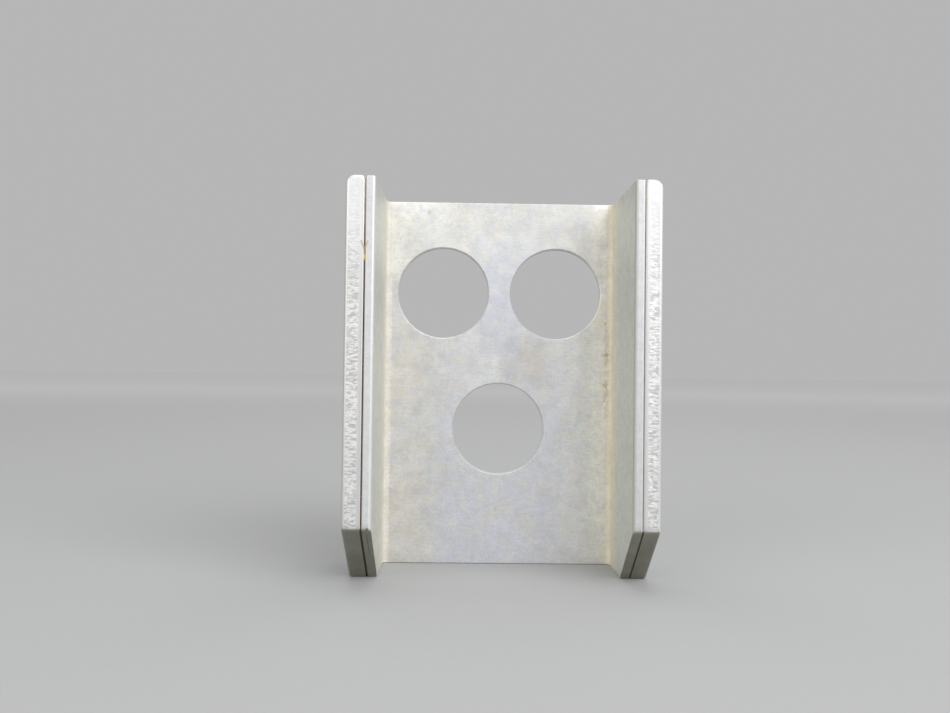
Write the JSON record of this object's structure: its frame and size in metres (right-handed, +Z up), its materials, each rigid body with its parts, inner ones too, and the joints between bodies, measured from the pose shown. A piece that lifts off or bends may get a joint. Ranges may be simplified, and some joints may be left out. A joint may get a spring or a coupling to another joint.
{
  "type": "channel spacer",
  "caption": "Channel-shaped aircraft spacer: folded sheet web with round holes, clipped lower corners, and a flat plate bonded outside each flange.",
  "frame": {"origin": "middle of the base: centred across and front to back, at the height of the lower edges", "axes": "+Z up along the channel, -Y towards the open side of the channel, +X to the right seen from the open side"},
  "size_m": [0.0584, 0.024, 0.0764],
  "materials": {
    "channel_metal": "satin, pale conversion coat",
    "plate_metal": "satin faces with sheared edges",
    "adhesive": "dark amber, matte"
  },
  "bodies": {
    "root": {"channel": "channel_metal", "left_plate": "plate_metal", "right_plate": "plate_metal", "left_bond": "adhesive", "right_bond": "adhesive"}
  },
  "joints": []
}
